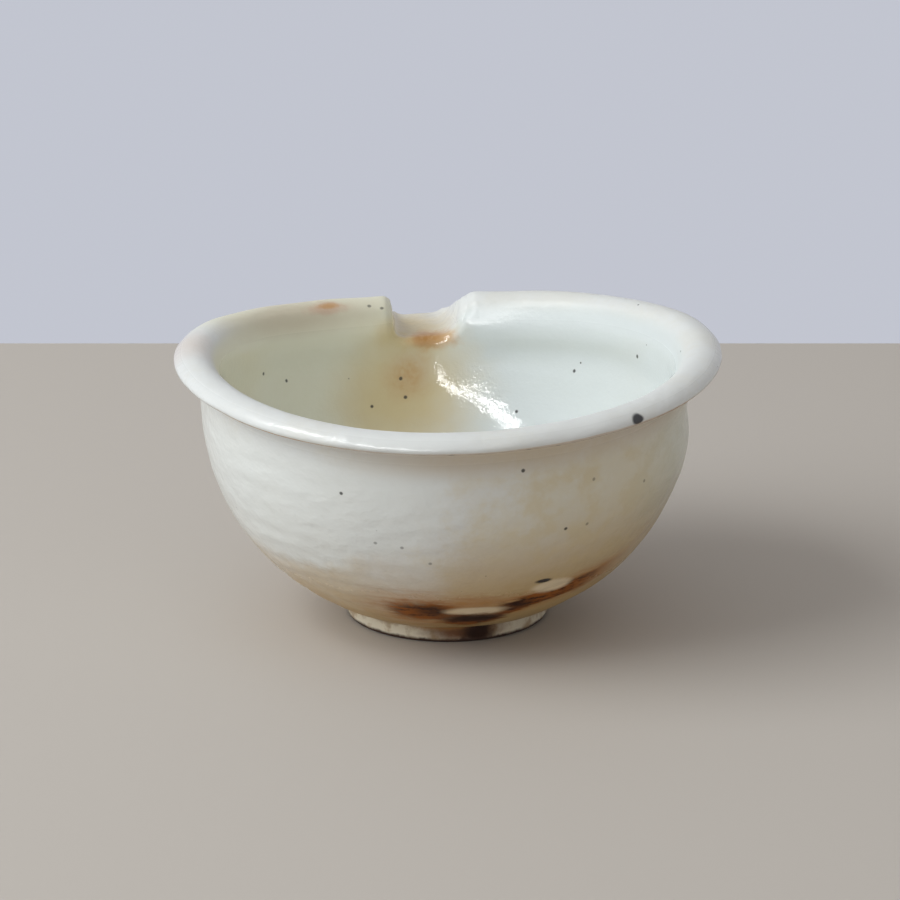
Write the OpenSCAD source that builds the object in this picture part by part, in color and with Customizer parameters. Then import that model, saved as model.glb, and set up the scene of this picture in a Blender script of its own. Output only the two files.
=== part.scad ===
// Katakuchi: a thrown, white-glazed sake bowl with one pouring spout set into its rolled rim.
// The bowl stands on the plane z = 0 with its axis on Z. The spout points along +Y.

/* [Overall] */
// Diameter over the rolled rim
rim_d = 130; // [100:1:170]
// Height from the table to the top of the rim
pot_h = 65; // [52:1:90]

/* [Bowl] */
// Diameter at which the belly meets the foot
base_d = 52; // [40:1:64]
// Thickness of the wall at the neck and of the rim that is rolled from it
wall_t = 5; // [3.5:0.1:7]
// Thickness of the floor
floor_t = 5.5; // [4:0.1:8]
// Diameter of the flat well in the middle of the floor
well_d = 24; // [16:1:32]

/* [Rim] */
// How far the rolled rim stands out past the neck
flare_w = 6.6; // [4:0.1:10]
// Height of the upright collar between the belly and the roll
collar_h = 2; // [1:0.1:5]

/* [Spout] */
// Width of the pouring channel where it leaves the bowl
channel_w = 16; // [12:0.5:24]
// Width of the pouring channel at the tip
tip_w = 13; // [8:0.5:16]
// Outward lean of the channel's sides above its round floor
channel_lean = 15; // [8:1:25]
// Depth of the channel's floor below the top of the rim
channel_depth = 12; // [9:0.5:16]
// How far the tip stands out past the rim
spout_reach = 12; // [8:0.5:24]
// Thickness of the spout's wall
spout_t = 3.5; // [2.5:0.1:5]
// Depth below the top of the rim at which the spout's two edges start
edge_drop = 1; // [0.6:0.1:2]
// Fall of the two edges from there to the tip
edge_fall = 8.5; // [2:0.5:9]
// Lean of the tip's end face, so that the last drop runs back
tip_rake = 15; // [0:1:30]

/* [Joint] */
// Width of the soft-clay coil around the spout, measured at the bowl's wall
coil_w = 4; // [2:0.1:6]
// Thickness of the coil at its smoothed-out end
coil_edge = 0.8; // [0.4:0.1:1.5]
// Length of the coil along the spout
coil_l = 6; // [4:0.1:8]
// Film of slip between pieces that are luted on a curved seat
slip_t = 0.2; // [0.1:0.05:0.4]

/* [Foot] */
// Outside diameter of the foot ring
foot_d = 48; // [36:1:52]
// Height of the foot ring
foot_h = 4.5; // [3:0.1:8]
// Width of the foot ring's bearing face with its two bevels
foot_w = 6; // [4:0.1:9]
// Bevel on the edges that stand on the table
foot_bevel = 0.6; // [0.3:0.1:1]

/* [Hidden] */
$fn = 128;

glaze_white = [0.90, 0.90, 0.86];
glaze_shade = [0.84, 0.83, 0.76];
foot_tan = [0.62, 0.50, 0.38];

rim_r = rim_d / 2;
neck_r = rim_r - flare_w;
mouth_r = neck_r - wall_t;
// The roll is a quarter turn of the wall that ends in a half-round bead
bead_r = wall_t / 2;
roll_x = rim_r - bead_r;
roll_r = roll_x - mouth_r;
roll_z = pot_h - roll_r;
seam_z = roll_z - collar_h;
bead_z = pot_h - bead_r;
floor_z = foot_h + floor_t;
// The channel and the spout share one level axis
axis_z = pot_h - channel_depth + channel_w / 2;
tip_y = rim_r + spout_reach;
channel_from = mouth_r - channel_w / 2;
channel_to = tip_y + spout_reach;
coil_to = neck_r + coil_l;
edge_slope = atan(edge_fall / (tip_y - roll_x));
channel_taper = atan((channel_w - tip_w) / 2 / (tip_y - mouth_r));
// How far the leaning sides reach down into the round floor
side_sink = tip_w / 4 * sin(2 * channel_lean);
// Overshoot of every cut, and a block larger than the pot for trimming
over = 1;
block = 2 * (rim_d + pot_h);

// Radius of an arc that starts upright and has moved in by run after it has dropped by drop
function arc_radius(run, drop) = (run * run + drop * drop) / (2 * run);

// Half width of the pouring channel at distance y from the bowl's axis
function channel_r(y) =
    tip_w / 2 + (channel_w - tip_w) / 2 * (tip_y - y) / (tip_y - mouth_r);

// Section inside one bowl curve, from the seam under the rim down to a flat at low_z
module curve_section(top_r, low_r, low_z, grow = 0) {
    drop = seam_z - low_z;
    curve_r = arc_radius(top_r - low_r, drop);
    intersection() {
        translate([top_r - curve_r, seam_z]) circle(curve_r + grow);
        translate([0, low_z]) square([top_r + grow, drop]);
    }
    translate([0, low_z]) square([low_r, drop]);
}

// Section of the collar, the roll and its bead
module rim_section() {
    translate([mouth_r, seam_z]) square([wall_t, collar_h]);
    intersection() {
        translate([roll_x, roll_z]) difference() {
            circle(roll_r);
            circle(roll_r - wall_t);
        }
        translate([mouth_r, roll_z]) square([roll_r, roll_r]);
    }
    translate([roll_x, bead_z]) circle(bead_r);
}

// The whole pot without its hollow, and all that is above it, one film of slip larger.
// It seats the spout and the coil
module pot_seat() {
    rotate_extrude() {
        curve_section(neck_r, base_d / 2, foot_h, slip_t);
        translate([0, seam_z]) square([neck_r + slip_t, collar_h]);
        difference() {
            translate([0, roll_z]) square([roll_x, block]);
            translate([roll_x, roll_z]) circle(roll_r - wall_t - slip_t);
        }
        translate([roll_x, bead_z]) circle(bead_r + slip_t);
    }
}

// A cone along the spout's axis, larger than the channel by side_from and side_to at its ends
module spout_cone(y_from, y_to, side_from, side_to) {
    translate([0, y_from, axis_z]) rotate([-90, 0, 0])
        cylinder(h = y_to - y_from, r1 = channel_r(y_from) + side_from, r2 = channel_r(y_to) + side_to);
}

// The form of the gutter: a round floor with two leaning sides, larger than the channel by grow
module gutter_form(y_from, y_to, grow) {
    spout_cone(y_from, y_to, grow, grow);
    intersection() {
        intersection_for(hand = [0, 1]) mirror([hand, 0, 0])
            translate([tip_w / 2 + grow, tip_y, axis_z]) rotate([0, channel_lean, channel_taper])
                translate([-block, -block / 2, -block / 2]) cube(block);
        translate([-block / 2, y_from, axis_z - side_sink]) cube([block, y_to - y_from, pot_h]);
    }
}

// The pouring channel. It cuts the bowl, the rim and the spout alike
module channel() {
    gutter_form(channel_from, channel_to, 0);
}

// What is cut away above the spout's two falling edges
module above_edges() {
    translate([0, roll_x, pot_h - edge_drop]) rotate([-edge_slope, 0, 0])
        translate([-block / 2, -block / 2, 0]) cube(block);
}

// What is cut away past the raked end face of the tip
module past_tip() {
    translate([0, tip_y, axis_z]) rotate([-tip_rake, 0, 0])
        translate([-block / 2, 0, -block / 2]) cube(block);
}

// Thrown body: floor and curved wall up to the seam under the rim
module bowl_wall() {
    color(glaze_white) difference() {
        rotate_extrude() difference() {
            curve_section(neck_r, base_d / 2, foot_h);
            curve_section(mouth_r, well_d / 2, floor_z);
            translate([0, seam_z]) square([mouth_r, over]);
        }
        channel();
    }
}

// Rim rolled outwards, open where the spout leaves the bowl
module rim_roll() {
    color(glaze_white) difference() {
        rotate_extrude() rim_section();
        channel();
    }
}

// The spout before its channel is cut and it is fitted to the bowl
module spout_blank() {
    difference() {
        gutter_form(channel_from, channel_to - over, spout_t);
        above_edges();
        past_tip();
    }
}

// Short gutter luted to the outside of the bowl under the rim
module spout() {
    color(glaze_shade) difference() {
        difference() {
            spout_blank();
            pot_seat();
        }
        channel();
    }
}

// Coil of soft clay smoothed into the corner between the spout and the bowl
module spout_coil() {
    coil_taper = (coil_w - coil_edge) / coil_l;
    root_w = coil_w + coil_taper * (neck_r - channel_from);
    color(glaze_shade) difference() {
        spout_cone(channel_from, coil_to, spout_t + root_w, spout_t + coil_edge);
        spout_cone(channel_from - over, coil_to + over, spout_t + slip_t, spout_t + slip_t);
        pot_seat();
        translate([-block / 2, -block / 2, roll_z]) cube(block);
    }
}

// Foot ring under the bowl, with its standing edges taken off
module foot_ring() {
    outer = foot_d / 2;
    inner = outer - foot_w;
    color(foot_tan) rotate_extrude() polygon([
        [inner + foot_bevel, 0],
        [outer - foot_bevel, 0],
        [outer, foot_bevel],
        [outer, foot_h],
        [inner, foot_h],
        [inner, foot_bevel]
    ]);
}

bowl_wall();
rim_roll();
spout();
spout_coil();
foot_ring();
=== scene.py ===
# %% [markdown]
# A katakuchi: a hand-thrown sake bowl with one pouring spout
#
# The imported model gives the pot as five plain pieces: wall, rolled rim, spout, coil and foot ring. This
# lesson replaces each of them by a mesh that looks thrown by hand, and dresses them in a milky ash
# glaze that breaks to tan and rust. First the imported model is loaded. It is the fixed frame, in metres.

# %% Load the frame
import math

import bmesh
import bpy
from mathutils import Matrix, Quaternion, Vector, noise


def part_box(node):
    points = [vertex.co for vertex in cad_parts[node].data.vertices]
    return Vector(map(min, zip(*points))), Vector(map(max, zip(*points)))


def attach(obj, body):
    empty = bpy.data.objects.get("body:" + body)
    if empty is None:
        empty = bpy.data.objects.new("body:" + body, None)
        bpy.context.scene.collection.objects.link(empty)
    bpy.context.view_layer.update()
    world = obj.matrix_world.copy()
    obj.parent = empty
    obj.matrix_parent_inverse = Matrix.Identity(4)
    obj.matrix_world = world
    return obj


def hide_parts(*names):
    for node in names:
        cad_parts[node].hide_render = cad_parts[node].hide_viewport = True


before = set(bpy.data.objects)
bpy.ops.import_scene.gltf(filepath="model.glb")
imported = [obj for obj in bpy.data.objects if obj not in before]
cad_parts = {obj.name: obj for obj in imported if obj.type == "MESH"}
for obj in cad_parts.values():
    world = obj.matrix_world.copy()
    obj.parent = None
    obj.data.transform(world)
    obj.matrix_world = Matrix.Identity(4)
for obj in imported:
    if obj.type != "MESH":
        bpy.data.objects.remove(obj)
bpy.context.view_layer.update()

# %% [markdown]
# Sizes
#
# A potter throws to a few measures: the width of the rim, the height, the neck and the foot. They are
# read from the boxes of the plain pieces, so a changed model changes this one too. What a box can't
# tell, such as the thickness of the wall, is written here once.

# %% Read the sizes
mm = 0.001


def tenths(value):
    """A size from the frame, rounded to a tenth of a millimetre."""
    return round(value, 4)


wall_low, wall_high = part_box("bowl_wall")
rim_low, rim_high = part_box("rim_roll")
foot_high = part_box("foot_ring")[1]
spout_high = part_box("spout")[1]

rim_r = tenths(rim_high.x)
pot_h = tenths(rim_high.z)
seam_z = tenths(rim_low.z)
neck_r = tenths(wall_high.x)
base_z = tenths(wall_low.z)
foot_r = tenths(foot_high.x)
tip_y = tenths(spout_high.y)

wall_t = 5 * mm
mouth_r = neck_r - wall_t
base_r = 26 * mm
well_r = 12 * mm
floor_z = base_z + 5.5 * mm
print("rim radius", rim_r, "height", pot_h, "neck", neck_r, "seam", seam_z, "foot", foot_r, "tip", tip_y)

# %% [markdown]
# Camera
#
# The camera comes first. It stands almost in front of the bowl, opposite the spout and a little to
# its left, and looks down at 17 degrees. A long lens keeps the ellipse of the rim as flat as it is in
# the photograph.

# %% Place the camera
view_turn = math.radians(-4.8)
view_pitch = math.radians(16.92)
camera_place = Vector((0.6, -955.6, 330.8)) * mm
turn_to_view = Matrix.Rotation(view_turn, 4, "Z")

lens = bpy.data.cameras.new("camera")
lens.lens = 168
lens.sensor_width = 36
camera = bpy.data.objects.new("camera", lens)
camera.location = turn_to_view @ camera_place
camera.rotation_euler = (math.pi / 2 - view_pitch, 0, view_turn)
bpy.context.scene.collection.objects.link(camera)
bpy.context.scene.camera = camera
bpy.context.scene.view_settings.view_transform = "Standard"
print("camera at", [round(value, 3) for value in camera.location])

# %% [markdown]
# Shader maths
#
# A material is a graph of nodes. Written node by node it is long and hard to read, so a small class
# wraps one socket. Python's operators on it add Math nodes, and its one method `node` adds any other
# node.

# %% A socket that can be used in expressions
class Wire:
    """One socket of a node tree."""

    def __init__(self, tree, socket=None):
        self.tree = tree
        self.socket = socket

    def node(self, kind, settings=(), inputs=(), out=0):
        """Add a node: first its settings, then the values or wires of its inputs."""
        made = self.tree.nodes.new("ShaderNode" + kind)
        for name, value in dict(settings).items():
            setattr(made, name, value)
        for name, value in dict(inputs).items():
            if isinstance(value, Wire):
                self.tree.links.new(value.socket, made.inputs[name])
            else:
                made.inputs[name].default_value = value
        return Wire(self.tree, made.outputs[out] if len(made.outputs) else None)

    def maths(self, operation, *values):
        """Add a Math node on numbers or wires."""
        return self.node("Math", {"operation": operation}, enumerate(values))

    def __add__(self, other):
        return self.maths("ADD", self, other)

    def __sub__(self, other):
        return self.maths("SUBTRACT", self, other)

    def __rsub__(self, other):
        return self.maths("SUBTRACT", other, self)

    def __mul__(self, other):
        return self.maths("MULTIPLY", self, other)

    def __truediv__(self, other):
        return self.maths("DIVIDE", self, other)

    def __rtruediv__(self, other):
        return self.maths("DIVIDE", other, self)

    __radd__ = __add__
    __rmul__ = __mul__


def colour(red, green, blue):
    """A colour as the sockets take it, with full opacity."""
    return (red, green, blue, 1.0)


print("a wire has the operators + - * /")

# %% [markdown]
# Floor and light
#
# The bowl stands on a plain pale floor. One square of a grid is enough for it. It is turned with the
# camera, so that its far edge is level in the picture, and it belongs to the stage and not to the part.

# %% Floor
floor_side = 480 * mm
floor_mesh = bpy.data.meshes.new("floor")
bm = bmesh.new()
bmesh.ops.create_grid(bm, x_segments=1, y_segments=1, size=floor_side / 2, matrix=turn_to_view)
bm.to_mesh(floor_mesh)
bm.free()
floor = bpy.data.objects.new("floor", floor_mesh)
bpy.context.scene.collection.objects.link(floor)

floor_paint = bpy.data.materials.new("floor_paint")
floor_paint.use_nodes = True
floor_shader = floor_paint.node_tree.nodes["Principled BSDF"]
floor_shader.inputs["Base Color"].default_value = colour(0.53, 0.49, 0.45)
floor_shader.inputs["Roughness"].default_value = 0.7
floor_mesh.materials.append(floor_paint)
print("floor", floor_side, "m wide")

# %% [markdown]
# The background is a plain cool grey. It could be a second plane, but then it would also throw light.
# So it is only the world's colour, which the camera and reflections see. What lights the bowl from all
# round is a second, weaker and warmer white.

# %% World
world = bpy.data.worlds.new("room")
bpy.context.scene.world = world
world.use_nodes = True
world.node_tree.nodes.clear()
room = Wire(world.node_tree)
rays = [room.node("LightPath", out=f"Is {kind} Ray") for kind in ("Camera", "Glossy", "Transmission")]
seen = room.maths("MINIMUM", rays[0] + rays[1] + rays[2], 1.0)
ambient = room.node("Background", {}, {"Color": colour(1.0, 0.97, 0.93), "Strength": 0.44})
backdrop = room.node("Background", {}, {"Color": colour(0.54, 0.56, 0.63), "Strength": 1.0})
shown = room.node("MixShader", {}, {0: seen, 1: ambient, 2: backdrop})
room.node("OutputWorld", {}, {"Surface": shown})
print("world with", len(world.node_tree.nodes), "nodes")

# %% [markdown]
# A large window stands at the left and gives nearly all the light. Its own mirror image would be a wide
# pale patch on the glaze, so it is hidden from reflections. Two smaller panes stand in for it there and
# light nothing else: one draws the streak inside the bowl, the other the gleam along the rim.

# %% Windows
def window(name, azimuth, elevation, distance, width, height, brightness, tint, roll=0.0):
    """An area lamp that faces the bowl; azimuth 0 is the camera's side and negative is its left."""
    lamp = bpy.data.lights.new(name, "AREA")
    lamp.shape = "RECTANGLE"
    lamp.size = width
    lamp.size_y = height
    lamp.energy = brightness * math.pi * width * height
    lamp.color = tint
    side, up = math.radians(azimuth), math.radians(elevation)
    towards = Vector((math.sin(side) * math.cos(up), -math.cos(side) * math.cos(up), math.sin(up)))
    towards = turn_to_view.to_3x3() @ towards
    facing = towards.to_track_quat("Z", "Y") @ Quaternion((0, 0, 1), math.radians(roll))
    window_object = bpy.data.objects.new(name, lamp)
    window_object.location = Vector((0, 0, pot_h / 2)) + towards * distance
    window_object.rotation_euler = facing.to_euler()
    bpy.context.scene.collection.objects.link(window_object)
    print(name, "gives", round(lamp.energy, 2), "W")
    return window_object


daylight = (0.95, 0.99, 1.0)
white = (1.0, 1.0, 1.0)
soft_window = window(
    "soft_window", azimuth=-73, elevation=38, distance=1.6,
    width=1.3, height=1.3, brightness=4.05, tint=daylight,
)
soft_window.visible_glossy = False
streak_window = window(
    "streak_window", azimuth=-29, elevation=30, distance=1.5,
    width=1.5, height=0.11, brightness=26.0, tint=white, roll=-37,
)
streak_window.visible_diffuse = False
rim_window = window(
    "rim_window", azimuth=-80, elevation=50, distance=1.5,
    width=0.5, height=0.4, brightness=9.0, tint=white,
)
rim_window.visible_diffuse = False

# %% [markdown]
# A hand-thrown shape
#
# A lathe gives a perfect pot, and this one isn't: its rim dips at the front and at the spout, it is a
# little oval, rings run round its wall, and the wall was drawn outwards where the spout leaves it.
# Sculpting each piece by hand would pull the seams apart. So each piece is built true and round first,
# and then one function moves every point, so that pieces which meet still meet. It starts with three
# soft curves.

# %% Soft curves
def ramp(value, start, end):
    """0 up to start, 1 from end on, in a straight line between."""
    return min(max((value - start) / (end - start), 0.0), 1.0)


def smooth(value, start, end):
    """0 up to start, 1 from end on, with a soft change between."""
    share = ramp(value, start, end)
    return share * share * (3 - 2 * share)


def bulge(value, centre, half):
    """1 at a centre, falling off softly on both sides of it."""
    return math.exp(-((value - centre) / half) ** 2)


print("a soft step is", smooth(0.25, 0, 1), "after a quarter of its way")

# %% [markdown]
# The rim was not cut level. It rises at its two sides, dips between them and lies a little higher at
# the spout, and its edge slopes down outwards. Waves round the pot give that, one, two and three to a
# turn.

# %% Lift of the rim
dip_h = 2.2 * mm
tilt_h = 0.9 * mm
sway_h = 0.45 * mm
sway_turn = math.radians(125)
back_h = 0.35 * mm
lump_w = 14 * mm
lump_h = 0.22 * mm
rim_slope = 0.35
slope_from = 57.5 * mm
slope_w = 5.5 * mm
slope_bend = 1.5


def rim_lift(place, turn, reach):
    """How far a point at the height of the rim is lifted."""
    lift = dip_h * math.cos(2 * turn) + tilt_h * math.cos(turn)
    lift += sway_h * math.cos(3 * turn - sway_turn)
    lift += lump_h * noise.noise(place / lump_w) + back_h * (1 + math.sin(turn))
    edge = slope_w * ramp(reach, slope_from, rim_r) ** slope_bend
    return lift - rim_slope * edge * ramp(place.z, pot_h - wall_t, pot_h)


print("rim rises and dips by", dip_h)

# %% [markdown]
# The wall is moved sideways too. A groove and a flare run under the rim inside. Outside, the neck is
# pressed in at the right and the belly is fuller at the left. Each of these has a height and a half
# width; a name that ends in over is the range in which something comes in or fades out.

# %% Push of the wall
curve_r = 7 * mm
groove_w = 0.4 * mm
groove_at = (48.5 * mm, 3.2 * mm)
flare_w = 0.55 * mm
flare_at = (59.5 * mm, 3.6 * mm)
neck_in = 1.3 * mm
neck_at = (50.5 * mm, 4.5 * mm)
belly_out = 0.5 * mm
belly_at = (39 * mm, 6 * mm)
outside_over = (47.5 * mm, 50 * mm)
beside_over = (6 * mm, 20 * mm)
fuller_over = (12 * mm, 28 * mm)
bead_over = (55 * mm, 60 * mm)


def hollow_share(place, reach):
    """1 on the skin of the hollow and 0 on the outside."""
    far = math.hypot(max(reach - curve_r, 0.0), min(place.z - seam_z, 0.0))
    return 1 - smooth(far, *outside_over)


def wall_push(place, turn, hollow):
    """How far the wall is pushed away from the bowl's axis."""
    beside_spout = smooth(abs(place.x), *beside_over) if place.y > 0 else 1.0
    groove = groove_w * bulge(place.z, *groove_at) * hollow * beside_spout
    groove += flare_w * bulge(place.z, *flare_at) * hollow
    right = max(math.cos(turn), 0.0)
    left = max(-math.cos(turn), 0.0)
    pressed = neck_in * bulge(place.z, *neck_at) - belly_out * bulge(place.z, *belly_at)
    fuller = belly_out * smooth(place.z, *fuller_over)
    below_bead = (1 - hollow) * (1 - smooth(place.z, *bead_over))
    return groove + (fuller * left - pressed * right ** 2) * below_bead


print("neck pressed in by", neck_in, "belly out by", belly_out)

# %% [markdown]
# Fingers leave a spiral of low rings on wet clay, and the glaze runs into soft lumps over them. A sine
# along the wall and two sizes of noise give both. They are weaker in the hollow, which the potter
# smooths with a rib.

# %% Rings and lumps
ring_pitch = 5.2 * mm
ring_h = 0.075 * mm
rings_smoothed = 0.85
lumps_smoothed = 0.65
lump_flatness = 2.5


def rings_and_lumps(place, turn, reach, hollow):
    """How far the skin stands out at the throwing rings and at the lumps."""
    run = seam_z * math.atan2(seam_z - place.z, reach)
    uneven = noise.noise(place / (2 * lump_w))
    rings = ring_h * (0.5 + uneven) * math.sin(math.tau * (run / ring_pitch + uneven) + turn)
    flat_lump = Vector((place.x, place.y, lump_flatness * place.z)) / lump_w
    lumps = lump_h * (noise.noise(place / lump_w) + 0.5 * noise.noise(flat_lump * 2))
    return rings * (1 - rings_smoothed * hollow) + lumps * (1 - lumps_smoothed * hollow)


print("a ring every", ring_pitch)

# %% [markdown]
# At the spout a finger drew the wall outwards and levelled the floor of the channel. With that, the
# potter's whole hand is one function. The foot stays where it is, because the pot stands on it.

# %% The potter's hand
oval_w = 0.5 * mm
oval_turn = math.radians(19)
draw_out = 1.6 * mm
draw_w = 7 * mm
floor_lift = 1.3 * mm
draw_over = (22 * mm, seam_z)
floor_along_over = (44 * mm, 54 * mm)
floor_across_over = (5 * mm, 15 * mm)
floor_up_over = (38 * mm, 52 * mm)
floor_end_over = (54 * mm, 64 * mm)
lift_over = (18 * mm, 60 * mm)
skin_over = (1 * mm, 9 * mm)


def at_spout(place):
    """How far a point near the spout is drawn out and lifted."""
    drawn = draw_out * bulge(place.x, 0.0, draw_w) * smooth(place.z, *draw_over)
    levelled = smooth(place.y, *floor_along_over) * smooth(place.z, *floor_up_over)
    levelled *= 1 - smooth(place.z, *floor_end_over)
    levelled *= 1 - smooth(abs(place.x), *floor_across_over)
    return Vector((0.0, drawn, floor_lift * levelled))


def hand_thrown(place):
    """Where a point of the true pot lies on the pot that was thrown by hand."""
    turn = math.atan2(place.y, place.x)
    reach = math.hypot(place.x, place.y)
    level = Vector((place.x, place.y, 0.0)).normalized()
    out = Vector((place.x, place.y, min(place.z - seam_z, 0.0))).normalized()
    upper = smooth(place.z, *lift_over)
    lower = smooth(place.z, *skin_over)
    hollow = hollow_share(place, reach)
    oval = -oval_w * math.cos(2 * turn - oval_turn)
    moved = place + level * (oval * upper + wall_push(place, turn, hollow))
    moved += out * rings_and_lumps(place, turn, reach, hollow) * lower
    moved.z += rim_lift(place, turn, reach) * upper
    if place.y > 0:
        moved += at_spout(place)
    return moved


print("rim's front moves to", [round(value, 4) for value in hand_thrown(Vector((0.0, -rim_r, pot_h)))])

# %% [markdown]
# Every piece ends in the same way. The hand moves its points, and their true place stays on the mesh as
# an attribute, which the glaze reads later. Its faces are smoothed, and it takes the place of one plain
# piece.

# %% Tools for pieces
def throw(bm):
    """Move all points of a true shape to where the potter's hand left them."""
    true_place = bm.verts.layers.float_vector.new("true_place")
    for vert in bm.verts:
        vert[true_place] = vert.co
        vert.co = hand_thrown(vert.co)


white_glaze = bpy.data.materials.new("white_glaze")
foot_clay = bpy.data.materials.new("foot_clay")
seam_angle = math.radians(60)


def finish_piece(bm, name, material, node):
    """Make a piece of the finished shape, smooth but for its hidden seams, in the place of a node."""
    for edge in bm.edges:
        edge.smooth = edge.calc_face_angle(0.0) < seam_angle
    for face in bm.faces:
        face.smooth = True
    mesh = bpy.data.meshes.new(name)
    bm.to_mesh(mesh)
    bm.free()
    mesh.materials.append(material)
    piece = bpy.data.objects.new(name, mesh)
    bpy.context.scene.collection.objects.link(piece)
    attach(piece, "root")
    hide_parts(node)
    print(name, len(mesh.vertices), "points", len(mesh.polygons), "faces")
    return piece


print("materials", white_glaze.name, "and", foot_clay.name)

# %% [markdown]
# The channel
#
# One pouring channel runs through the top of the wall, through the rim and along the spout. Its floor
# is flat, its corners are round, and its sides lean outwards, the right one more than the left one. It
# lies a little to the left of the middle, as a hand-made spout may. Three pieces are shaped by it, so
# it comes first.

# %% Measures of the channel
channel_depth = 12 * mm
channel_w = 16 * mm
channel_tip_w = 14.4 * mm
channel_tip_y = rim_r + 12 * mm
axis_z = pot_h - channel_depth + channel_w / 2
channel_x = -0.7 * mm
# The lean of each side and the radius of its corner
left_side = (math.radians(6), 3.5 * mm)
right_side = (math.radians(14), 5 * mm)


def channel_corner(y, side):
    """The round corner at one side of the channel: its centre, its radius, and the side's lean."""
    lean, corner_r = right_side if side > 0 else left_side
    share = (channel_tip_y - y) / (channel_tip_y - mouth_r)
    half = channel_tip_w / 2 + (channel_w - channel_tip_w) / 2 * share
    return half - corner_r, axis_z - half + corner_r, corner_r, lean


def channel_gap(place):
    """How far a point lies outside the channel, and the direction that leads away from it."""
    off = place.x - channel_x
    side = math.copysign(1, off)
    centre_x, centre_z, corner_r, lean = channel_corner(place.y, side)
    across, rise = abs(off) - centre_x, place.z - centre_z
    turn = min(max(math.atan2(across, -rise), 0.0), math.pi / 2 - lean)
    if rise > 0 and across < 0:
        turn = math.pi / 2 - lean
    gap = across * math.sin(turn) - rise * math.cos(turn) - corner_r
    return gap, Vector((side * math.sin(turn), 0, -math.cos(turn)))


print("channel floor at", round(axis_z - channel_w / 2, 4))

# %% [markdown]
# Bowl wall
#
# The wall is turned on a wheel, so it is a spun outline: out along the base, up the belly, across the
# seam, down the hollow and in along the floor. A ready-made curve could carry the outline, but a point
# that is pushed along lines and spun into arcs keeps every measure exact.

# %% Tools for outlines
weld_gap = 0.002 * mm


def line_to(bm, point, r, z, steps=1):
    """Draw a straight line of an outline from a point; returns its end."""
    start = point.co.copy()
    for step in range(steps):
        point = bmesh.ops.extrude_vert_indiv(bm, verts=[point])["verts"][0]
        point.co = start.lerp(Vector((r, 0, z)), (step + 1) / steps)
    return point


def arc_to(bm, point, centre_r, centre_z, turn, steps):
    """Draw an arc of an outline round a centre, counter-clockwise for a positive turn; returns its end."""
    centre = (centre_r, 0, centre_z)
    spun = bmesh.ops.spin(bm, geom=[point], cent=centre, axis=(0, -1, 0), angle=turn, steps=steps)
    return next(part for part in spun["geom_last"] if isinstance(part, bmesh.types.BMVert))


def arc_radius(run, drop):
    """Radius of an arc that starts upright and has moved in by run after it has dropped by drop."""
    return (run * run + drop * drop) / (2 * run)


def close_up(bm):
    """Merge the doubles that a spin leaves and turn all faces outwards."""
    bmesh.ops.remove_doubles(bm, verts=bm.verts, dist=weld_gap)
    bmesh.ops.recalc_face_normals(bm, faces=bm.faces)


def spin_outline(bm, steps):
    """Spin an outline all the way round the bowl's axis."""
    outline = bm.verts[:] + bm.edges[:]
    up = (0, 0, 1)
    bmesh.ops.spin(bm, geom=outline, cent=(0, 0, 0), axis=up, angle=math.tau, steps=steps, use_merge=True)
    close_up(bm)


print("an arc that moves in by 3 after a drop of 4 has a radius of", round(arc_radius(3, 4), 3))

# %% [markdown]
# Both sides of the wall are arcs that stand upright at the seam under the rim. The belly ends at the
# foot, the hollow at the flat well in the middle of the floor.

# %% Spin the wall
wall_steps = 320
base_steps = 16
belly_steps = 72
seam_steps = 14
hollow_steps = 68
floor_steps = 8
belly_r = arc_radius(neck_r - base_r, seam_z - base_z)
hollow_r = arc_radius(mouth_r - well_r, seam_z - floor_z)
belly_turn = math.asin((seam_z - base_z) / belly_r)
hollow_turn = math.asin((seam_z - floor_z) / hollow_r)

bm = bmesh.new()
point = bm.verts.new((0, 0, base_z))
point = line_to(bm, point, base_r, base_z, base_steps)
point = arc_to(bm, point, neck_r - belly_r, seam_z, belly_turn, belly_steps)
point = line_to(bm, point, mouth_r, seam_z, seam_steps)
point = arc_to(bm, point, mouth_r - hollow_r, seam_z, -hollow_turn, hollow_steps)
point = line_to(bm, point, 0, floor_z, floor_steps)
spin_outline(bm, wall_steps)
print("belly radius", round(belly_r, 4), "hollow radius", round(hollow_r, 4), "faces", len(bm.faces))

# %% [markdown]
# The channel cuts a shallow dip into the wall's top. A boolean would leave slivers there. Instead the
# points inside the channel are pushed out to its surface, and the sharp edge that is left towards the
# hollow is rounded: of a point near it, only its depths below the two faces count. First the depth
# below the pot's skin.

# %% Depth below the skin
bead_r = wall_t / 2
roll_x = rim_r - bead_r
roll_r = roll_x - mouth_r
roll_z = pot_h - roll_r
bead_z = pot_h - bead_r


def skin_depth(place):
    """How deep a point lies under the inner or upper skin of the pot, and the direction inwards."""
    reach = math.hypot(place.x, place.y)
    if place.z < seam_z:
        centre, radius = (mouth_r - hollow_r, seam_z), -hollow_r
    elif place.z < roll_z:
        centre, radius = (mouth_r - hollow_r, place.z), -hollow_r
    elif reach < roll_x:
        centre, radius = (roll_x, roll_z), roll_r
    else:
        centre, radius = (roll_x, bead_z), bead_r
    side = Vector((reach - centre[0], place.z - centre[1]))
    inwards = -side.normalized() * math.copysign(1.0, radius)
    level = Vector((place.x, place.y, 0)) / reach
    depth = abs(radius) - side.length if radius > 0 else side.length - abs(radius)
    return depth, level * inwards.x + Vector((0, 0, inwards.y))


print("rim rolls round a radius of", round(roll_r, 4), "and ends in a bead of", bead_r)

# %% [markdown]
# Then the rounding. A wet sponge takes the edge off freshly cut clay, more at the right end of the rim
# than at the left one. The rim uses the same functions for its two ends.

# %% Round the channel's edge
edge_round = 2 * mm
top_round = 1.6 * mm
cut_half = 20 * mm


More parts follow.
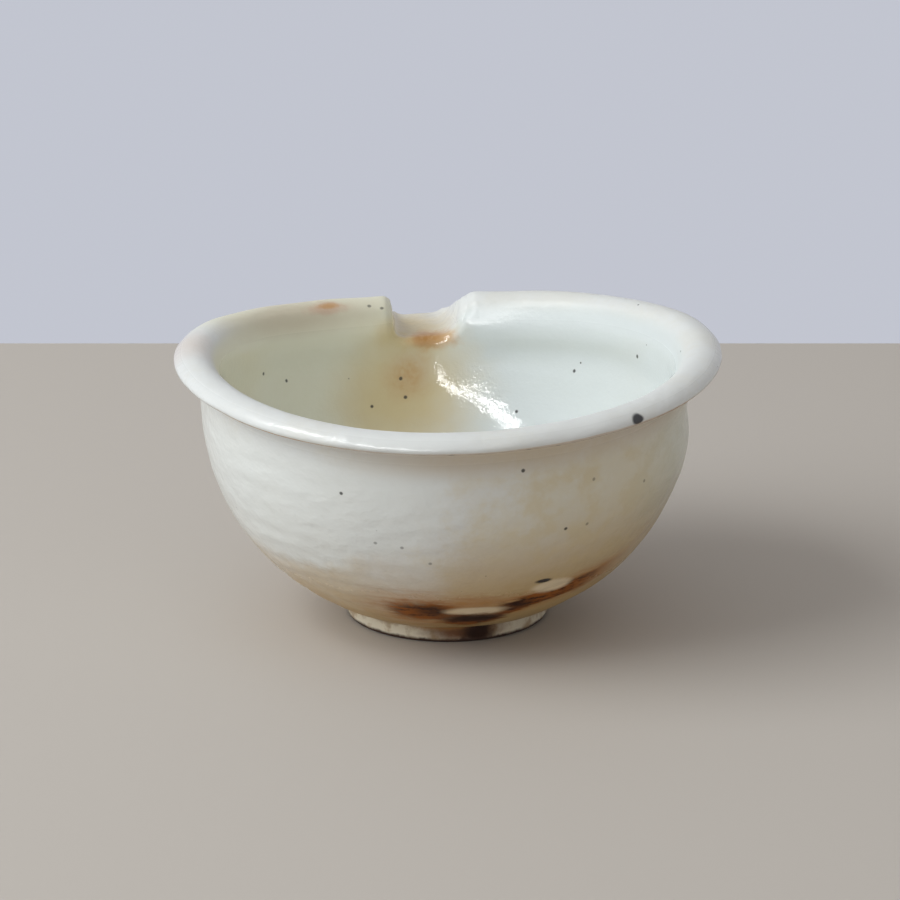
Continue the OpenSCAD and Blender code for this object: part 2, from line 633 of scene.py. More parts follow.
def rounded(depth_a, depth_b, radius):
    """Depths below two faces that meet at an edge, after that edge is rounded."""
    a, b = radius - depth_a, radius - depth_b
    far = math.hypot(a, b)
    if a <= 0 or b <= 0 or far <= radius:
        return depth_a, depth_b
    return radius - a * radius / far, radius - b * radius / far


def cut_channel(place):
    """Push a point out of the channel and round the edge that the channel leaves on the skin."""
    gap, away = channel_gap(place)
    if gap < 0:
        place = place - away * gap
        gap, away = channel_gap(place)
    depth, inwards = skin_depth(place)
    radius = edge_round
    if place.x > 0:
        radius += top_round * smooth(place.z, roll_z, bead_z)
    if math.hypot(place.x, place.y) > roll_x:
        radius *= smooth(place.z, bead_z - bead_r, bead_z)
    if radius == 0 or gap > radius or depth > radius:
        return place
    new_gap, new_depth = rounded(max(gap, 0.0), max(depth, 0.0), radius)
    return place + away * (new_gap - gap) + inwards * (new_depth - depth)


def near_channel(vert):
    """Whether a point may be touched by the channel."""
    return vert.co.y > mouth_r / 2 and abs(vert.co.x) < cut_half and vert.co.z > seam_z - wall_t


print("edges of the channel are rounded by", edge_round)

# %% [markdown]
# The wall's faces are too coarse for a round edge, so those in the way of the channel are subdivided
# first. Then the channel is cut, and the hand that moves every point finishes the wall.

# %% Cut the wall
fine_faces = [f for f in bm.faces if all(near_channel(v) and abs(v.co.x) < channel_w / 2 for v in f.verts)]
fine_edges = list({edge for face in fine_faces for edge in face.edges})
bmesh.ops.subdivide_edges(bm, edges=fine_edges, cuts=2, use_grid_fill=True)
for vert in filter(near_channel, bm.verts):
    vert.co = cut_channel(vert.co)
throw(bm)
finish_piece(bm, "glazed_wall", white_glaze, "bowl_wall")

# %% [markdown]
# Rim
#
# The potter rolls the top of the wall outwards over a finger. The section is a collar, a quarter round
# and a half-round bead. A flat grid is bent into that form, because a grid can later close the two open
# ends too.

# %% Bend the section
across_steps = 20
collar_steps, roll_steps, bead_steps = 3, 20, 4
along_steps = collar_steps + roll_steps + bead_steps


def rim_section(along, across):
    """A point of the rim's section: along in steps from the seam, across from -1 inside to 1 outside."""
    if along <= collar_steps:
        height = seam_z + (roll_z - seam_z) * along / collar_steps
        return Vector((mouth_r + bead_r * (1 + across), 0, height))
    turn = math.pi / 2 * min((along - collar_steps) / roll_steps, 1.0)
    far = roll_r - bead_r * (1 + across)
    place = Vector((roll_x - far * math.cos(turn), 0, roll_z + far * math.sin(turn)))
    share = max(along - collar_steps - roll_steps, 0.0) / bead_steps
    round_off = across * math.pi / 2
    bead = Vector((roll_x + bead_r * math.cos(round_off), 0, bead_z - bead_r * math.sin(round_off)))
    return place.lerp(bead, share)


bm = bmesh.new()
bmesh.ops.create_grid(bm, x_segments=across_steps, y_segments=along_steps, size=1.0)
for vert in bm.verts:
    vert.co = rim_section((vert.co.y + 1) / 2 * along_steps, vert.co.x)
print("rim section of", len(bm.faces), "faces")

# %% [markdown]
# The border of the grid is spun almost all the way round, from the left side of the channel to the
# right side. The grid itself stays at the left end, and a turned copy of it closes the right one.

# %% Spin the rim
rim_steps = 340
rim_gap = math.radians(16)
left_turn = Matrix.Rotation(math.pi / 2 + rim_gap, 3, "Z")
right_turn = Matrix.Rotation(-2 * rim_gap, 3, "Z")

bmesh.ops.rotate(bm, verts=bm.verts, cent=(0, 0, 0), matrix=left_turn)
left_end = bm.faces[:]
border = [edge for edge in bm.edges if edge.is_boundary]
border_points = list({vert for edge in border for vert in edge.verts})
copied = bmesh.ops.duplicate(bm, geom=left_end)["geom"]
right_end = [part for part in copied if isinstance(part, bmesh.types.BMFace)]
right_points = list({vert for face in right_end for vert in face.verts})
bmesh.ops.rotate(bm, verts=right_points, cent=(0, 0, 0), matrix=right_turn)
rim_turn = math.tau - 2 * rim_gap
rim_border = border_points + border
bmesh.ops.spin(bm, geom=rim_border, cent=(0, 0, 0), axis=(0, 0, 1), angle=rim_turn, steps=rim_steps)
close_up(bm)
print("rim open edges", sum(edge.is_boundary for edge in bm.edges))

# %% [markdown]
# Each end is now extruded in small steps until it lies on the channel's surface. The channel leans and
# narrows, so every point slides its own way round the axis. Then the ends are rounded like the wall.

# %% Draw the two ends out to the channel
end_steps = 18
settle_steps = 4


def towards_channel(place, side, share):
    """Slide a point round the bowl's axis by a share of its way to the channel's surface."""
    reach = math.hypot(place.x, place.y)
    y = reach
    for _ in range(settle_steps):
        centre_x, centre_z, corner_r, lean = channel_corner(y, side)
        rise = place.z - centre_z
        if rise < -corner_r * math.sin(lean):
            half = centre_x + math.sqrt(max(corner_r ** 2 - rise ** 2, 0.0))
        else:
            half = centre_x + (corner_r + rise * math.sin(lean)) / math.cos(lean)
        x = channel_x + side * half
        y = math.sqrt(reach ** 2 - x ** 2)
    turn, goal = math.atan2(place.x, place.y), math.atan2(x, y)
    turn += (goal - turn) * share
    return Vector((reach * math.sin(turn), reach * math.cos(turn), place.z))


for end, side in ((left_end, -1), (right_end, 1)):
    for step in range(end_steps):
        drawn = bmesh.ops.extrude_face_region(bm, geom=end)["geom"]
        bmesh.ops.delete(bm, geom=end, context="FACES")
        end = [part for part in drawn if isinstance(part, bmesh.types.BMFace)]
        for vert in {vert for face in end for vert in face.verts}:
            vert.co = towards_channel(vert.co, side, 1 / (end_steps - step))
close_up(bm)
for vert in filter(near_channel, bm.verts):
    vert.co = cut_channel(vert.co)
print("rim open edges", sum(edge.is_boundary for edge in bm.edges))
throw(bm)
finish_piece(bm, "glazed_rim", white_glaze, "rim_roll")

# %% [markdown]
# Spout
#
# The spout is a small gutter that the potter bends from a strip and sets against the bowl. It is made
# that way here too: a flat grid is bent into the gutter's inside, and a second skin grows from it. Its
# edges start under the skin of the rim and fall in a hollow curve to the tip.

# %% Section of the gutter
edge_top_y = roll_x + 0.8 * mm
edge_top_z = pot_h - 2.4 * mm
tip_edge_z = 55.2 * mm
edge_bend = 1.4


def edge_height(y):
    """Height of the gutter's two edges: under the rim's skin at first, then falling to the tip."""
    if y < roll_x:
        return roll_z + math.sqrt((roll_r - edge_round) ** 2 - (roll_x - y) ** 2)
    share = smooth(y, roll_x, edge_top_y)
    high = pot_h - edge_round + (edge_top_z - pot_h + edge_round) * share
    left_over = min((tip_y - y) / (tip_y - edge_top_y), 1.0)
    return high + (tip_edge_z - edge_top_z) * (1 - left_over ** edge_bend)


def section_point(y, length, grow):
    """A point of the gutter's section at y; length runs along it from the bottom, positive to the right."""
    centre_x, centre_z, corner_r, lean = channel_corner(y, length)
    turn = min(max(abs(length) - centre_x, 0.0) / corner_r, math.pi / 2 - lean)
    straight = max(abs(length) - centre_x - corner_r * turn, 0.0)
    x = min(abs(length), centre_x) + (corner_r + grow) * math.sin(turn) + straight * math.sin(lean)
    z = centre_z - (corner_r + grow) * math.cos(turn) + straight * math.cos(lean)
    return Vector((channel_x + math.copysign(x, length), y, z))


def section_length(y, side):
    """Length of the gutter's section at y from its bottom to one of its edges."""
    centre_x, centre_z, corner_r, lean = channel_corner(y, side)
    rise = edge_height(y) - centre_z
    if rise < -corner_r * math.sin(lean):
        return centre_x + corner_r * math.acos(-rise / corner_r)
    straight = (rise + corner_r * math.sin(lean)) / math.cos(lean)
    return centre_x + corner_r * (math.pi / 2 - lean) + straight


print("gutter's edges fall from", round(edge_height(edge_top_y), 4), "to", round(edge_height(tip_y), 4))

# %% [markdown]
# The root is sunk into the wall and the rim, so that no gap shows, and it comes out a hair proud of the
# rim's nose. A subdivision surface then softens the edges as a wet finger would.

# %% Bend the gutter
spout_t = 4.2 * mm
lip_t = 2.2 * mm
spout_root_y = mouth_r + edge_round + 0.2 * mm
root_sink = 0.5 * mm
root_l = 2.2 * mm
left_sink = 0.2 * mm
right_sink = 0.6 * mm
seam_h = 0.2 * mm
sink_over = (roll_x - 3 * mm, roll_x + 1 * mm)
proud_over = (roll_x - 2 * mm, roll_x)
level_over = (rim_r, rim_r + 3 * mm)
sides_over = (0.4, 0.95)


def gutter(along, across, grow):
    """A point of the gutter: along from 0 at the root to 1 at the tip, across from -1 to 1."""
    y = spout_root_y + (tip_y - spout_root_y) * along
    sunk = root_sink * (1 - smooth(y, spout_root_y, spout_root_y + root_l))
    side_sink = right_sink if across > 0 else left_sink
    deep = side_sink * (1 - smooth(y, *sink_over))
    proud = seam_h * smooth(y, *proud_over) * (1 - smooth(y, *level_over))
    sunk += smooth(abs(across), *sides_over) * (deep - proud)
    return section_point(y, across * section_length(y, across), grow + sunk)


bm = bmesh.new()
bmesh.ops.create_grid(bm, x_segments=14, y_segments=12, size=1.0)
inside = bm.faces[:]
grown = bmesh.ops.extrude_face_region(bm, geom=inside, use_keep_orig=True)["geom"]
outside = {part for part in grown if isinstance(part, bmesh.types.BMVert)}
for vert in bm.verts:
    along, across = (vert.co.y + 1) / 2, vert.co.x
    thick = spout_t + (lip_t - spout_t) * along
    vert.co = gutter(along, across, thick if vert in outside else 0.0)
close_up(bm)
throw(bm)
spout = finish_piece(bm, "glazed_spout", white_glaze, "spout")
softness = spout.modifiers.new("soft_clay", "SUBSURF")
softness.levels = 3
softness.render_levels = 3

# %% [markdown]
# Coil
#
# The potter smooths a coil of soft clay into the corner between the spout and the wall. A bevel on the
# corner would need both pieces to be one mesh. So the coil is a grid that is bent into a hollow curve
# from the wall to the gutter, swept round the gutter's underside, and given a thickness.

# %% Sweep the coil
coil_w = 4.5 * mm
coil_l = 6 * mm
coil_half = 14.6 * mm
coil_t = 1.5 * mm
coil_tuck = 0.6 * mm
coil_taper = 0.8


def wall_reach(z):
    """Radius of the pot's outside at a height under the bead."""
    if z < seam_z:
        return neck_r - belly_r + math.sqrt(belly_r ** 2 - (seam_z - z) ** 2)
    return roll_x - math.sqrt(max((roll_r - wall_t) ** 2 - max(z - roll_z, 0.0) ** 2, 0.0))


def fillet(share_round, share_across):
    """A point of the coil: round the gutter from -1 to 1, and from the wall at 0 to the gutter at 1."""
    across = share_across * math.pi / 2
    size = 1 - coil_taper * share_round ** 2
    reach = coil_l * size
    stand = coil_w * size * (1 - math.sin(across)) - coil_tuck * share_across
    along = reach * (1 - math.cos(across)) - coil_tuck * (1 - share_across)
    thick = spout_t + (lip_t - spout_t) * (neck_r + along - spout_root_y) / (tip_y - spout_root_y)
    place = section_point(neck_r + along, share_round * coil_half, thick + stand)
    place.y = math.sqrt(wall_reach(place.z) ** 2 - place.x ** 2) + along
    return place


bm = bmesh.new()
bmesh.ops.create_grid(bm, x_segments=48, y_segments=12, size=1.0)
for vert in bm.verts:
    vert.co = fillet(vert.co.x, (vert.co.y + 1) / 2)
bmesh.ops.solidify(bm, geom=bm.faces[:], thickness=coil_t)
close_up(bm)
throw(bm)
finish_piece(bm, "glazed_coil", white_glaze, "spout_coil")

# %% [markdown]
# Foot ring
#
# The foot is trimmed from the leather-hard clay on the wheel, so it is spun like the wall. Its outline
# is a short block with two rounded standing edges. Its top is sunk a little into the base.

# %% Spin the foot
foot_w = 6 * mm
foot_round = 0.9 * mm
sunk_z = base_z + 0.2 * mm
foot_steps = 5

bm = bmesh.new()
first = bm.verts.new((foot_r - foot_w, 0, sunk_z))
point = line_to(bm, first, foot_r - foot_w, foot_round, foot_steps)
point = arc_to(bm, point, foot_r - foot_w + foot_round, foot_round, math.pi / 2, foot_steps)
point = line_to(bm, point, foot_r - foot_round, 0, foot_steps)
point = arc_to(bm, point, foot_r - foot_round, foot_round, math.pi / 2, foot_steps)
point = line_to(bm, point, foot_r, sunk_z, foot_steps)
bm.edges.new((point, first))
spin_outline(bm, wall_steps)
throw(bm)
finish_piece(bm, "trimmed_foot", foot_clay, "foot_ring")

# %% [markdown]
# Glaze
#
# The glaze is wood ash and feldspar. Where it is thick it is milky white and glossy. Where it ran thin,
# low on the outside and under the spout, the iron in the clay comes through it as olive, tan and rust.
# A painted image would blur close up, so the glaze is a stack of soft stains, each a mask and a colour.
# It starts with tools for masks. All of them read the true place in millimetres.

# %% Tools for masks
def fade(value, start, end):
    """0 before start and 1 past end, with a soft change between; start may be the larger one."""
    limits = {"Value": value, "From Min": start, "From Max": end}
    return value.node("MapRange", {"interpolation_type": "SMOOTHSTEP"}, limits)


def mix(share, first, second):
    """Blend two colours."""
    return share.node("Mix", {"data_type": "RGBA"}, {0: share, 6: first, 7: second}, 2)


def grain(place, scale, detail=3.0, rough=0.55):
    """Cloudy noise from 0 to 1."""
    inputs = {"Vector": place, "Scale": scale, "Detail": detail, "Roughness": rough}
    return place.node("TexNoise", {}, inputs)


def scaled(place, x, y, z):
    """A place with each coordinate multiplied."""
    return place.node("VectorMath", {"operation": "MULTIPLY"}, {0: place, 1: (x, y, z)})


def stain(place, centre, half, ragged=0.0, soft=0.4):
    """A ball round a centre, stretched to the half sizes; ragged roughens its edge and soft blurs it."""
    off = place.node("VectorMath", {"operation": "SUBTRACT"}, {0: place, 1: centre})
    off = scaled(off, 1 / half[0], 1 / half[1], 1 / half[2])
    far = off.node("VectorMath", {"operation": "LENGTH"}, {0: off}, 1)
    return fade(far + ragged, 1 + soft, 1 - soft)


print("tools for masks:", [tool.__name__ for tool in (fade, mix, grain, scaled, stain)])

# %% [markdown]
# The next tools say where a point lies. The true place is in metres, and millimetres and degrees are
# easier to think in.

# %% Tools for places
def start_material(material):
    """Empty a material; returns its tree as a wire and the true place in millimetres."""
    material.use_nodes = True
    material.node_tree.nodes.clear()
    start = Wire(material.node_tree)
    place = start.node("Attribute", {"attribute_name": "true_place"}, {}, "Vector")
    return start, scaled(place, 1 / mm, 1 / mm, 1 / mm)


def split(place):
    """The three coordinates of a place."""
    return [place.node("SeparateXYZ", {}, {0: place}, axis) for axis in range(3)]


def angle_around(x, y):
    """Degrees round the pot: 0 opposite the spout, positive to the right."""
    return x.maths("DEGREES", x.maths("ARCTAN2", x, 0 - y))


print("a true place is multiplied by", 1 / mm)

# %% [markdown]
# First come the parts of the pot that a stain may ask for: the angle around it, counted from the side
# opposite the spout, whether a point lies in the hollow, and three sizes of noise that make every
# border uneven.

# %% Where on the pot
start, place = start_material(white_glaze)
x, y, z = split(place)
around = angle_around(x, y)
reach = start.maths("SQRT", x * x + y * y)
over_seam = start.maths("MINIMUM", z - seam_z / mm, 0.0)
past_well = start.maths("MAXIMUM", reach - curve_r / mm, 0.0)
bowl_far = start.maths("SQRT", past_well * past_well + over_seam * over_seam)
inside = fade(bowl_far, 50.0, 47.0)
outside = 1 - inside

clouds = grain(place, 0.045)
blots = grain(place, 0.16, 4.0)
curds = grain(place, 0.7, 3.0)
ragged = (blots - 0.5) * 0.9 + (curds - 0.5) * 0.35
print("masks use", len(white_glaze.node_tree.nodes), "nodes so far")

# %% [markdown]
# The broad tones come next: milky white with creamy clouds, a cooler white on the inner side that faces
# the light, olive cream on the other, which is partly a real tint and partly painted warm shade, beige and
# straw outside at the right with grey green past it, the beige partly painted warm shade on that side
# away from the light, tan towards the foot, and over it a thick white run at the left. A tan band under
# the bead is partly thin glaze and partly painted shade.

# %% Broad tones
ash_white = colour(0.755, 0.775, 0.770)
ash_cream = colour(0.71, 0.69, 0.61)
cool_white = colour(0.71, 0.76, 0.77)
olive_cream_and_warm_shade = colour(0.79, 0.77, 0.60)
thick_white = colour(0.77, 0.80, 0.79)
beige_and_warm_shade = colour(0.71, 0.65, 0.49)
grey_green = colour(0.62, 0.68, 0.62)
straw = colour(0.67, 0.57, 0.36)
tan = colour(0.51, 0.35, 0.15)
white_low = 23
white_turn = -40
white_climb = 0.42

cream_share = fade(clouds + (curds - 0.5) * 0.3, 0.42, 0.66) * (0.7 - fade(z, 58, 62) * 0.4)
tone = mix(cream_share, ash_white, ash_cream)
aside = (x + ragged * 12) / (1 + fade(y, 24, -16) * 4)
tone = mix(inside * fade(aside, -8, 6), tone, cool_white)
# olive cream on the side turned from the light: a real tint, partly painted warm shade
tone = mix(inside * fade(aside, 6, -16) * 0.9, tone, olive_cream_and_warm_shade)
tone = mix(fade(x + ragged * 14, 0, -12) * fade(y, 14, 36) * fade(z, 52, 56) * 0.85, tone, olive_cream_and_warm_shade)
right_front = fade(around + ragged * 40, -20, 40) * fade(around, 110, 60)
left_front = fade(around + ragged * 16, 2, -14) * fade(around, -150, -110)
white_edge = z - white_low - start.maths("MAXIMUM", around - white_turn, 0.0) * white_climb
# beige at the right, away from the light: a real tint, partly painted warm shade
tone = mix(outside * right_front * fade(z, 57, 51) * 0.75, tone, beige_and_warm_shade)
tone = mix(outside * right_front * fade(z, 56, 50) * fade(blots, 0.40, 0.64) * 0.6, tone, straw)
far_right = fade(around + ragged * 20, 38, 70) * fade(around, 140, 110) * fade(z, 24, 34) * fade(z, 61, 59)
tone = mix(outside * far_right * 0.6, tone, grey_green)
tone = mix(outside * fade(z + left_front * 7 - right_front * 3 + ragged * 12, 44, 10), tone, tan)
white_share = outside * left_front * fade(z, 60, 52) * fade(white_edge + ragged * 7, -2, 4)
tone = mix(white_share * 0.9, tone, thick_white)
# a tan band under the bead: thin glaze, partly painted shade
thin_glaze_and_shade_under_bead = outside * fade(z, 51, 57) * fade(z, 61, 60) * fade(around, -40, 0) * fade(around, 120, 80)
tone = mix(thin_glaze_and_shade_under_bead * 0.45, tone, tan)
print("glaze has", len(white_glaze.node_tree.nodes), "nodes after the broad tones")

# %% [markdown]
# Then a painted shade and the stains of the inside, the spout and the rim: a grey ring of painted shade in
# the throat at the right, under the roll, ochre that ran down under the spout, rust in its crease, and
# faint pink where the flame touched the rim. Each stain is a ball of colour with a ragged edge; the pot's
# skin cuts through it.

# %% Stains of the inside and the rim
ochre = colour(0.67, 0.53, 0.26)
orange = colour(0.58, 0.31, 0.11)
rust = colour(0.44, 0.22, 0.06)
pink = colour(0.62, 0.39, 0.27)
flushed = colour(0.60, 0.50, 0.36)
throat_shade_grey = colour(0.52, 0.56, 0.52)
olive_brown = colour(0.52, 0.42, 0.20)

smoky = (clouds - 0.5) * 0.9 + (blots - 0.5) * 0.3
flecks = 0.5 + fade(curds + (blots - 0.5) * 0.8, 0.30, 0.70) * 0.5
# a grey ring in the throat at the right: painted shade under the roll
throat_shade_ring = inside * fade(start.maths("ABSOLUTE", z - 52.5), 3.5, 0.0) * fade(x, 4, 24) * fade(y, 10, 36)
tone = mix(throat_shade_ring * 0.3, tone, throat_shade_grey)
tone = mix(inside * stain(place, (-6, 50, 40), (16, 14, 15), smoky, 0.7) * 0.85, tone, ochre)
orange_run = stain(place, (-5, 52, 44.5), (5, 6, 5), smoky * 2 + ragged, 0.8)
tone = mix(inside * orange_run * flecks * 0.7, tone, orange)
tone = mix(stain(place, (-5, 61, 54.5), (9, 14, 5), smoky, 0.6) * 0.8, tone, ochre)
tone = mix(stain(place, (-7, 60, 56), (5, 11, 5), smoky, 0.6) * 0.25, tone, olive_brown)
tone = mix(stain(place, (0, 54, 52.8), (5.5, 5, 2.4), ragged * 1.8, 0.6) * 0.7, tone, orange)
tone = mix(stain(place, (-0.5, 54, 53), (3.6, 4.5, 1.8), ragged * 2, 0.6) * flecks, tone, rust)
tone = mix(stain(place, (-34, 43, 62), (20, 20, 3.5), smoky, 0.7) * 0.55, tone, flushed)
tone = mix(stain(place, (-25, 50, 63.2), (5, 5, 1.2), ragged * 1.4, 0.6) * 0.6, tone, pink)
tone = mix(stain(place, (-24.5, 50.4, 63.7), (3.2, 3.2, 0.6), ragged * 1.6, 0.5) * 0.8, tone, orange)
tone = mix(stain(place, (-62, 6, 63), (5, 11, 3), smoky, 0.6) * 0.3, tone, pink)
print("glaze has", len(white_glaze.node_tree.nodes), "nodes after the stains")

# %% [markdown]
# Low on the outside the glaze broke open round the foot: burnt patches, a band that climbs to the
# right, and two cream stripes. These marks are easiest to place by the angle around the pot and the
# height, so they are laid out on that sheet: degrees across, millimetres up. Where the fire burnt it,
# the glaze is dry.

# %% Sheet of the marks
dark_brown = colour(0.030, 0.010, 0.004)
black_iron = colour(0.012, 0.010, 0.009)
pale_cream = colour(0.76, 0.63, 0.43)
ember = colour(0.42, 0.19, 0.055)
fire_light = colour(0.29, 0.095, 0.016)
fire_dark = colour(0.05, 0.015, 0.005)
band_low = 13.4
band_turn = 14
band_climb = 0.2
band_half = 2.6

sheet = start.node("CombineXYZ", {}, {0: around, 1: 0.0, 2: z})
low = outside * fade(z, 34, 30)
streaks = grain(scaled(sheet, 0.09, 0.0, 0.8), 1.0, 4.0, 0.6)
frayed = (streaks - 0.5) * 1.5 + (curds - 0.5) * 0.25
fire = mix(fade(streaks + (curds - 0.5) * 0.4, 0.42, 0.62), fire_light, fire_dark)
band_z = z - band_low - start.maths("MAXIMUM", around - band_turn, 0.0) * band_climb
band_far = start.maths("ABSOLUTE", band_z) / band_half + frayed
band_ends = low * fade(around + ragged * 10, 9, 16) * fade(around, 60, 40)


def mark(turn, height, half_turn, half_height, rough=0.0, soft=0.4):
    """A stain low on the outside, with its place and its half sizes on the sheet."""
    return low * stain(sheet, (turn, 0, height), (half_turn, 1, half_height), rough, soft)


print("glaze has", len(white_glaze.node_tree.nodes), "nodes after the sheet")

# %% [markdown]
# Now the marks are laid one over the other, as they ran: a soft glow of ember first, the burnt patches
# on it, the two cream stripes over those, and last the small dark spots and the brown line under the
# bead. That line is a real break of the glaze, and where it widens at the right it is painted shadow
# under the bead.

# %% Marks above the foot
tone = mix(mark(-13, 12.8, 17, 6, frayed, 0.7) * 0.75, tone, ember)
tone = mix(mark(5, 16, 11, 2.2, frayed * 1.4, 0.7) * 0.6, tone, ember)
tone = mix(band_ends * fade(band_far, 2.1, 0.7) * 0.85, tone, ember)
left_fire = mark(-13.5, 13, 11.5, 3.4, frayed, 0.45)
tone = mix(left_fire, tone, fire)
tone = mix(mark(-10, 13.4, 5, 2.0, frayed, 0.5) * 0.6, tone, dark_brown)
right_fire = band_ends * fade(band_far, 1.25, 0.75) * fade(around, 52, 34)
tone = mix(right_fire, tone, fire)
tone = mix(mark(18, 14.2, 6, 1.7, frayed, 0.5) * 0.6, tone, dark_brown)
tone = mix(mark(4.5, 13.2, 10, 1.4, frayed * 0.4, 0.35), tone, pale_cream)
tone = mix(mark(27, 19.4, 6.5, 1.9, frayed * 0.3, 0.3), tone, pale_cream)
foot_fire = mark(4, 9.2, 11.5, 2.8, frayed, 0.35)
tone = mix(foot_fire, tone, fire)
dry = start.maths("MAXIMUM", start.maths("MAXIMUM", left_fire, right_fire), foot_fire)
tone = mix(mark(5, 10.2, 11, 1.7, frayed * 0.7, 0.5), tone, dark_brown)
tone = mix(mark(-0.6, 16.3, 2.6, 0.6, frayed * 0.6) * 0.8, tone, rust)
tone = mix(mark(7, 16.2, 2.0, 0.5, frayed * 0.6) * 0.8, tone, rust)
tone = mix(mark(22.8, 21.6, 2.4, 0.6), tone, black_iron)

bead_low = 60.5
# the brown line under the bead, widened at the right as painted shadow
line_far = start.maths("ABSOLUTE", z - bead_low) - fade(around, 4, 24) * fade(around, 70, 44) * 0.7
brown_line_and_shadow = fade(line_far + ragged * 0.9, 1.1, 0.5) * fade(reach, 60.6, 61.4)
line_share = 0.45 + fade(start.maths("ABSOLUTE", around - 6), 24, 60) * 0.5
tone = mix(brown_line_and_shadow * line_share * fade(y, 50, 40), tone, rust)
print("glaze has", len(white_glaze.node_tree.nodes), "nodes after the marks")

# %% [markdown]
# Iron specks come last. They are grains of ore in the clay that burn through the glaze. Those that can
# be seen one by one in the photograph are listed, as an angle and a height: some dark, some faint
# under the glaze, some in the hollow and a row on the bead.

# %% Specks listed one by one
def skin_point(turn, height, hollow):
    """The point of the true wall at an angle round the pot and a height, both in plain numbers."""
    run, level = (hollow_r, mouth_r) if hollow else (belly_r, neck_r)
    drop = min(height * mm - seam_z, 0.0)
    far = (level - run + math.sqrt(run * run - drop * drop)) / mm
    return (far * math.sin(math.radians(turn)), -far * math.cos(math.radians(turn)), height)


dark_specks = ((-29, 47.5), (12, 53.7), (24, 36.6))
faint_specks = ((30, 48), (47, 43), (30, 36.6), (-22, 34.8), (-15.6, 34), (-9, 29.6))
left_specks = ((-128, 50), (-137, 47), (-163, 38), (-173, 39.5), (-172, 44))
right_specks = ((139, 46.5), (155, 36), (115, 53))
bead_specks = (-4, 11.4, 17.7, 25.3, 33.2)
bead_far = 63.8
speck_half = (0.42, 0.42, 0.42)

spots = []
groups = ((dark_specks, False, 0.9), (faint_specks, False, 0.5), (left_specks + right_specks, True, 0.9))
for marks, hollow, strength in groups:
    for turn, height in marks:
        spot = stain(place, skin_point(turn, height, hollow), speck_half, ragged * 0.6)
        spots.append(spot * strength)
for turn in bead_specks:
    side = math.radians(turn)
    on_bead = (bead_far * math.sin(side), -bead_far * math.cos(side), bead_low)
    spots.append(stain(place, on_bead, (0.7, 0.7, 0.5), ragged) * 0.8)
spots.append(stain(place, (38.3, -52.0, 63.2), (1.7, 1.7, 1.5), ragged * 0.4, 0.25))
spots.append(stain(place, (-14.8, 55, 63), (0.5, 0.5, 0.4)) * 0.7)
spots.append(stain(place, (-11.6, 54.8, 62.5), (0.5, 0.5, 0.4)) * 0.7)
print("specks set by hand:", len(spots))

# %% [markdown]
# The rest are scattered by a Voronoi texture. Its distance is small only near the middle of a cell, and
# the colour that it gives each cell picks a few of them. The larger of two masks joins all the specks.

# %% Scattered specks
speck_scale = 0.16
cells = start.node("TexVoronoi", {}, {"Vector": place, "Scale": speck_scale}, 0)
chosen = start.node("TexVoronoi", {}, {"Vector": place, "Scale": speck_scale}, 1)
picked = start.node("SeparateColor", {}, {0: chosen}, 0)
specks = fade(cells, 0.06, 0.025) * fade(picked, 0.70, 0.72)
for spot in spots:
    specks = start.maths("MAXIMUM", specks, spot)
tone = mix(specks * 0.95, tone, black_iron)
print("glaze has", len(white_glaze.node_tree.nodes), "nodes after the specks")

# %% [markdown]
# The surface is glossy inside, a little duller outside and on the roll, and dull low down. Fine bumps
# break up the reflections: a crinkle of about a millimetre in the hollow, wider dents outside. The
# burnt marks are a dry crust that hardly reflects, so a second shader shows there.

# %% Gloss and fine surface
bands = grain(scaled(place, 0.05, 0.05, 0.9), 1.0, 4.0, 0.6)
ripple = grain(place, 0.32, 2.0)
pores = grain(place, 1.7, 2.0)
dents = grain(scaled(place, 0.27, 0.27, 0.38), 1.0, 2.0, 0.5)
crinkle = grain(place, 0.8, 3.0, 0.6)
relief = bands * 0.02 + ripple * (0.02 + outside * 0.1) + pores * 0.02
relief = relief + crinkle * (0.02 + inside * 0.07) + outside * dents * 0.34
bump = start.node("Bump", {}, {"Strength": 0.7, "Distance": 0.001, "Height": relief})
low_dull = low * fade(z + ragged * 8, 22, 10) * 0.25
roll_dull = fade(z, 55, 59) * fade(reach, 64, 62) * 0.22
dull = 0.06 + outside * 0.16 + low_dull + roll_dull
glaze_inputs = {"Base Color": tone, "Roughness": dull, "Normal": bump, "IOR": 1.5}
glossy = start.node("BsdfPrincipled", {}, glaze_inputs)
crust_inputs = {"Base Color": tone, "Roughness": 0.6, "Normal": bump, "Specular IOR Level": 0.15}
crust = start.node("BsdfPrincipled", {}, crust_inputs)
surface = start.node("MixShader", {}, {0: dry, 1: glossy, 2: crust})
start.node("OutputMaterial", {}, {"Surface": surface})
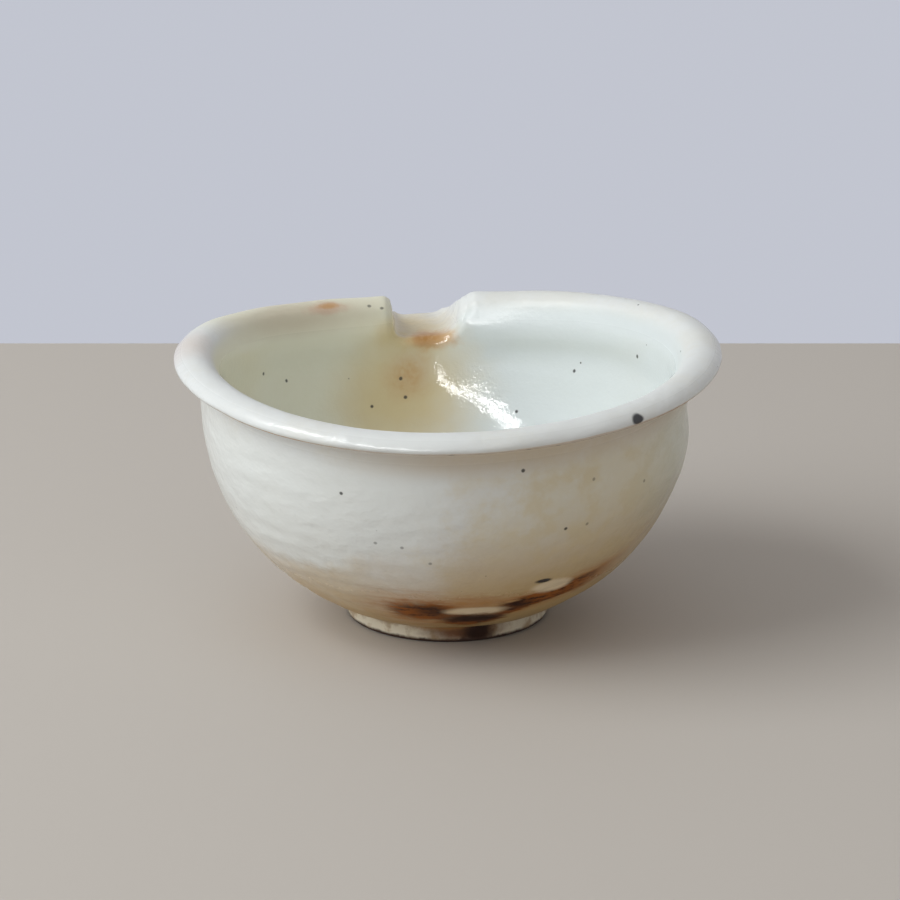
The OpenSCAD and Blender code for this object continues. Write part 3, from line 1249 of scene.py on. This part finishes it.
print("glaze has", len(white_glaze.node_tree.nodes), "nodes")

# %% [markdown]
# Clay of the foot
#
# The foot was dipped in thin glaze and its standing edge was wiped clean before firing. So the side is
# cream with brown patches, burnt in front where the marks of the wall run down over it, and the edge is
# bare, dark purple-brown clay. The same tools as for the glaze make it, on a drier shader.

# %% Foot
start, place = start_material(foot_clay)
x, y, z = split(place)
around = angle_around(x, y)
blots = grain(place, 0.22, 4.0)
curds = grain(place, 1.1, 3.0)
ragged = (blots - 0.5) * 0.9 + (curds - 0.5) * 0.35
sheet = start.node("CombineXYZ", {}, {0: around, 1: 0.0, 2: z})

foot_cream = colour(0.78, 0.72, 0.58)
foot_tan = colour(0.48, 0.37, 0.24)
bare_clay = colour(0.060, 0.032, 0.022)
burnt_foot = colour(0.20, 0.09, 0.04)
tone = mix(fade(blots, 0.42, 0.62), foot_cream, foot_tan)
tone = mix(stain(sheet, (5, 0, 3.4), (20, 1, 3.0), ragged * 0.9, 0.6), tone, burnt_foot)
tone = mix(stain(sheet, (13, 0, 2.4), (9, 1, 3.0), ragged * 0.8, 0.55), tone, dark_brown)
tone = mix(stain(sheet, (-10, 0, 4.4), (16, 1, 1.2), ragged * 1.5, 0.5) * 0.7, tone, rust)
tone = mix(stain(sheet, (120, 0, 2.4), (22, 1, 1.5), ragged * 1.5, 0.2) * 0.8, tone, rust)
tone = mix(stain(sheet, (-140, 0, 3), (16, 1, 1.6), ragged * 1.5, 0.2) * 0.8, tone, rust)
bare = fade(z + ragged * 1.2, 1.3, 0.5)
tone = mix(bare, tone, bare_clay)
relief = curds * 0.12 + grain(place, 3.0, 2.0) * 0.08
bump = start.node("Bump", {}, {"Strength": 0.6, "Distance": 0.001, "Height": relief})
clay_inputs = {"Base Color": tone, "Roughness": 0.4 + bare * 0.3, "Normal": bump}
clay_inputs["Specular IOR Level"] = 0.25
surface = start.node("BsdfPrincipled", {}, clay_inputs)
start.node("OutputMaterial", {}, {"Surface": surface})
print("foot has", len(foot_clay.node_tree.nodes), "nodes")
